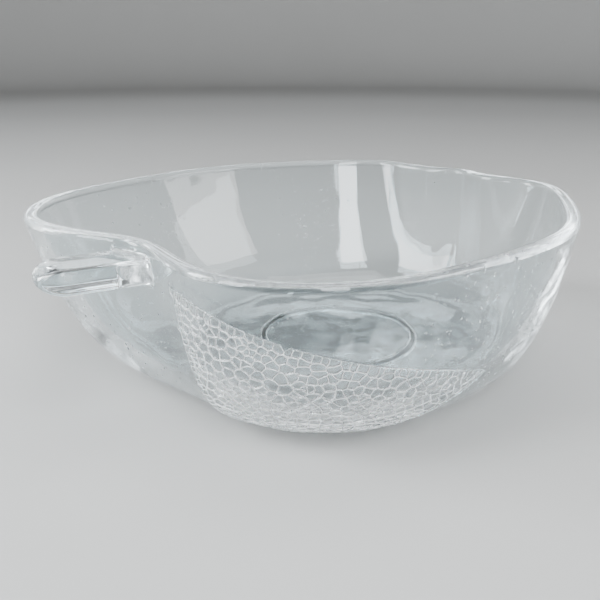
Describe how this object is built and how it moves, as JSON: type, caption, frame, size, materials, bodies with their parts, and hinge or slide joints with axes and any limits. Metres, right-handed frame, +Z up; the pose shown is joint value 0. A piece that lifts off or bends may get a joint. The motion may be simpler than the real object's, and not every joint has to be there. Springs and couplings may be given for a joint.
{
  "type": "art glass bowl",
  "caption": "Shallow clear glass serving bowl shaped as a half apple, with a solid stem handle, a veined leaf in relief on the wall and a ring foot.",
  "frame": {"origin": "centre of the foot ring, in the plane of the table the bowl stands on", "axes": "+Z up out of the bowl's mouth, +X towards the stem along the apple outline's line of symmetry, +Y towards the side that carries the leaf"},
  "size_m": [0.2627, 0.2278, 0.078],
  "materials": {
    "clear_glass": "clear, colourless with a faint cool tint, fire-polished",
    "veined_glass": "clear with a raised network of fine veins, slightly frosted"
  },
  "bodies": {
    "root": {"bowl_body": "clear_glass", "rim_lip": "clear_glass", "stem_handle": "clear_glass", "leaf_panel": "veined_glass", "foot_ring": "clear_glass"}
  },
  "joints": []
}
